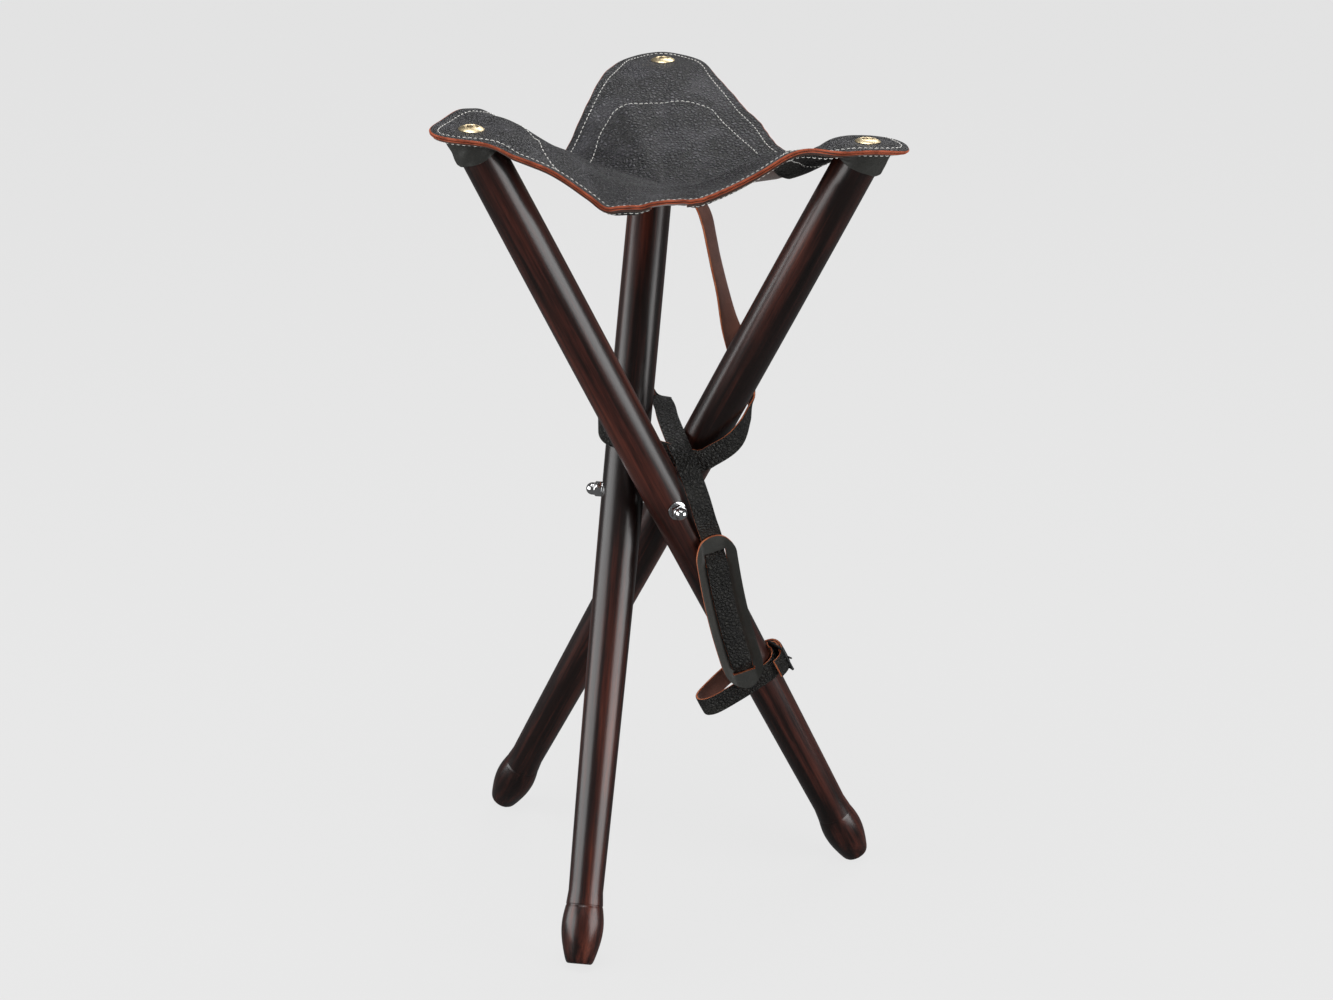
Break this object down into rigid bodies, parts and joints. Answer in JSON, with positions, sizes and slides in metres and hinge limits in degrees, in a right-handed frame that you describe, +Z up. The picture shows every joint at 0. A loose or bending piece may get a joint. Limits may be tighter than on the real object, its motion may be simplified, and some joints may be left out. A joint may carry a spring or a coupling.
{
  "type": "folding tripod stool",
  "caption": "Folding stool with turned wooden legs on a central bolt, a lobed black leather sling seat and a carry strap with shoulder pad.",
  "frame": {"origin": "on the floor, below the middle of the whole stool's plan", "axes": "+Z up; +Y towards the back lobe's side, +X to the viewer's right as pictured"},
  "size_m": [0.4111, 0.4533, 0.7609],
  "materials": {
    "stained_wood": "dark red-brown stain under gloss varnish",
    "bright_zinc": "bright plated",
    "black_leather": "black pebbled grain",
    "lining_leather": "brown suede flesh side",
    "strap_leather": "black grain, tan raw edges",
    "brass": "polished, pale gold",
    "screw_steel": "bright",
    "black_steel": "black, semi-gloss"
  },
  "bodies": {
    "hub": {"three_way_bolt": "bright_zinc", "inner_washer_a": "bright_zinc", "inner_washer_b": "bright_zinc", "inner_washer_c": "bright_zinc", "outer_washer_a": "bright_zinc", "outer_washer_b": "bright_zinc", "outer_washer_c": "bright_zinc", "acorn_nut_a": "bright_zinc", "acorn_nut_b": "bright_zinc", "acorn_nut_c": "bright_zinc", "seat_leather": "black_leather", "seat_lining": "lining_leather", "corner_patch_a": "lining_leather", "corner_patch_b": "lining_leather", "corner_patch_c": "lining_leather", "carry_strap": "strap_leather"},
    "leg_a_body": {"leg_a": "stained_wood", "pocket_sleeve_a": "black_leather", "cup_washer_a": "brass", "seat_screw_a": "screw_steel", "shoulder_pad": "black_leather", "loop_strap": "strap_leather", "buckle_frame": "black_steel", "buckle_prong": "black_steel"},
    "leg_b_body": {"leg_b": "stained_wood", "pocket_sleeve_b": "black_leather", "cup_washer_b": "brass", "seat_screw_b": "screw_steel"},
    "leg_c_body": {"leg_c": "stained_wood", "pocket_sleeve_c": "black_leather", "cup_washer_c": "brass", "seat_screw_c": "screw_steel"}
  },
  "joints": [
    {"name": "leg_a_fold", "type": "hinge", "parent": "hub", "child": "leg_a_body", "pos_m": [-0.0164, -0.0079, 0.39], "axis": [-0.5, 0.866, 0], "range_deg": [0, 28.43], "deforming": ["seat_leather", "seat_lining", "corner_patch_a", "corner_patch_b", "corner_patch_c", "carry_strap"]},
    {"name": "leg_b_fold", "type": "hinge", "parent": "hub", "child": "leg_b_body", "pos_m": [-0.0164, -0.0079, 0.39], "axis": [-0.5, -0.866, 0], "range_deg": [0, 28.43]},
    {"name": "leg_c_fold", "type": "hinge", "parent": "hub", "child": "leg_c_body", "pos_m": [-0.0164, -0.0079, 0.39], "axis": [1, 0, 0], "range_deg": [0, 28.43]}
  ],
  "couplings": [
    {"joint": "leg_b_fold", "follows": "leg_a_fold", "ratio": 1},
    {"joint": "leg_c_fold", "follows": "leg_a_fold", "ratio": 1}
  ]
}
